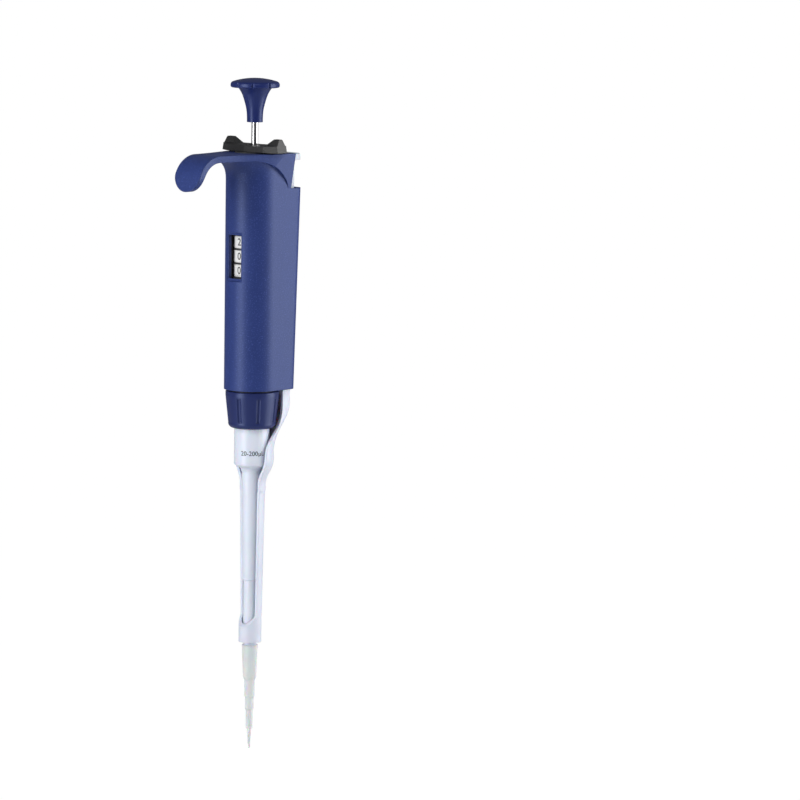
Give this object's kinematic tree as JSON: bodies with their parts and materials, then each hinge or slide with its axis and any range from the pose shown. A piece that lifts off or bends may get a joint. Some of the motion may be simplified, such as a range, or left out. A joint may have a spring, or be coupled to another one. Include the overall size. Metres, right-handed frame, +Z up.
{
  "type": "adjustable micropipette",
  "caption": "Hand-held adjustable air-displacement micropipette with plunger button, volume wing, number window, finger hook, tip ejector and a fitted disposable tip.",
  "frame": {"origin": "on the plunger axis, at the height of the flat underside of the finger hook, where a pipette stand carries the pipette", "axes": "+Z up the plunger axis towards the push button, -Z towards the tip, -Y towards the finger hook and the number window, +Y towards the ejector button, X across the volume wing"},
  "size_m": [0.0338, 0.0613, 0.2952],
  "materials": {
    "handle_plastic": "fine-textured navy moulding",
    "button_plastic": "satin navy moulding",
    "nut_plastic": "satin navy moulding",
    "wing_plastic": "satin black moulding",
    "drum_plastic": "matt white moulding with printed digits",
    "spacer_plastic": "matt black moulding",
    "frame_plastic": "matt dark grey glass-filled moulding",
    "ejector_plastic": "satin pale grey moulding",
    "arm_plastic": "satin pale bluish-white moulding",
    "shaft_plastic": "satin pale bluish-white moulding",
    "guide_plastic": "natural acetal",
    "piston_ceramic": "polished white ceramic",
    "tip_plastic": "clear milky polypropylene",
    "rod_steel": "polished stainless steel",
    "spring_steel": "drawn stainless wire",
    "plate_steel": "turned stainless steel",
    "sleeve_brass": "turned brass",
    "seal_rubber": "matt black elastomer"
  },
  "bodies": {
    "handle": {"handle_shell": "handle_plastic", "top_bushing": "guide_plastic", "chassis": "frame_plastic", "drum_spacers": "spacer_plastic", "blow_out_plate": "plate_steel", "blow_out_spring": "spring_steel", "seal_retainer": "guide_plastic", "o_ring": "seal_rubber", "piston_seal": "guide_plastic", "lower_coupling": "frame_plastic", "shaft": "shaft_plastic", "rod_bushing": "guide_plastic", "ejector_spring": "spring_steel", "piston_spring": "spring_steel"},
    "ring_nut": {"connecting_nut": "nut_plastic"},
    "volume_drive": {"volume_wing": "wing_plastic", "hub_clip": "spring_steel", "drive_sleeve": "sleeve_brass", "units_drum": "drum_plastic"},
    "tens": {"tens_drum": "drum_plastic"},
    "hundreds": {"hundreds_drum": "drum_plastic"},
    "stop": {"stop_nut": "guide_plastic"},
    "plunger": {"piston_head": "guide_plastic", "piston": "piston_ceramic"},
    "button": {"push_button": "button_plastic", "control_rod": "rod_steel", "stop_collar": "plate_steel"},
    "ejector": {"ejector_button": "ejector_plastic", "ejector_rod": "rod_steel", "rod_clip": "spring_steel", "ejector_arm": "arm_plastic"},
    "pipette_tip": {"tip": "tip_plastic"}
  },
  "joints": [
    {"name": "volume_turn", "type": "hinge", "parent": "handle", "child": "volume_drive", "pos_m": [0, 0, 0.0033], "axis": [0, 0, 1], "range_deg": [-6480, 0]},
    {"name": "tens_turn", "type": "hinge", "parent": "handle", "child": "tens", "pos_m": [0, 0, -0.0421], "axis": [0, 0, 1], "range_deg": [-648, 0]},
    {"name": "hundreds_turn", "type": "hinge", "parent": "handle", "child": "hundreds", "pos_m": [0, 0, -0.0359], "axis": [0, 0, 1], "range_deg": [-64.8, 0]},
    {"name": "stop_travel", "type": "slide", "parent": "handle", "child": "stop", "axis": [0, 0, 1], "range_m": [-0.00594, 0]},
    {"name": "plunger_press", "type": "slide", "parent": "stop", "child": "plunger", "axis": [0, 0, -1], "range_m": [0, 0.0086], "stiffness_N_per_m": 600, "springref_m": -0.005, "deforming": ["piston_spring"]},
    {"name": "button_turn", "type": "hinge", "parent": "plunger", "child": "button", "pos_m": [0, 0, 0.016], "axis": [0, 0, 1], "range_deg": [-6480, 0]},
    {"name": "ejector_press", "type": "slide", "parent": "handle", "child": "ejector", "axis": [0, 0, -1], "range_m": [0, 0.009], "stiffness_N_per_m": 400, "springref_m": -0.006, "deforming": ["ejector_spring"]},
    {"name": "tip_release", "type": "slide", "parent": "ejector", "child": "pipette_tip", "axis": [0, 0, -1], "range_m": [0, 0.012]},
    {"name": "nut_turn", "type": "hinge", "parent": "handle", "child": "ring_nut", "pos_m": [0, 0, -0.11], "axis": [0, 0, 1], "range_deg": [-720, 0]}
  ],
  "couplings": [
    {"joint": "volume_turn", "follows": "stop_travel", "rad_per_m": 19040},
    {"joint": "button_turn", "follows": "stop_travel", "rad_per_m": 19040},
    {"joint": "tens_turn", "follows": "stop_travel", "rad_per_m": 1904},
    {"joint": "hundreds_turn", "follows": "stop_travel", "rad_per_m": 190.4}
  ]
}
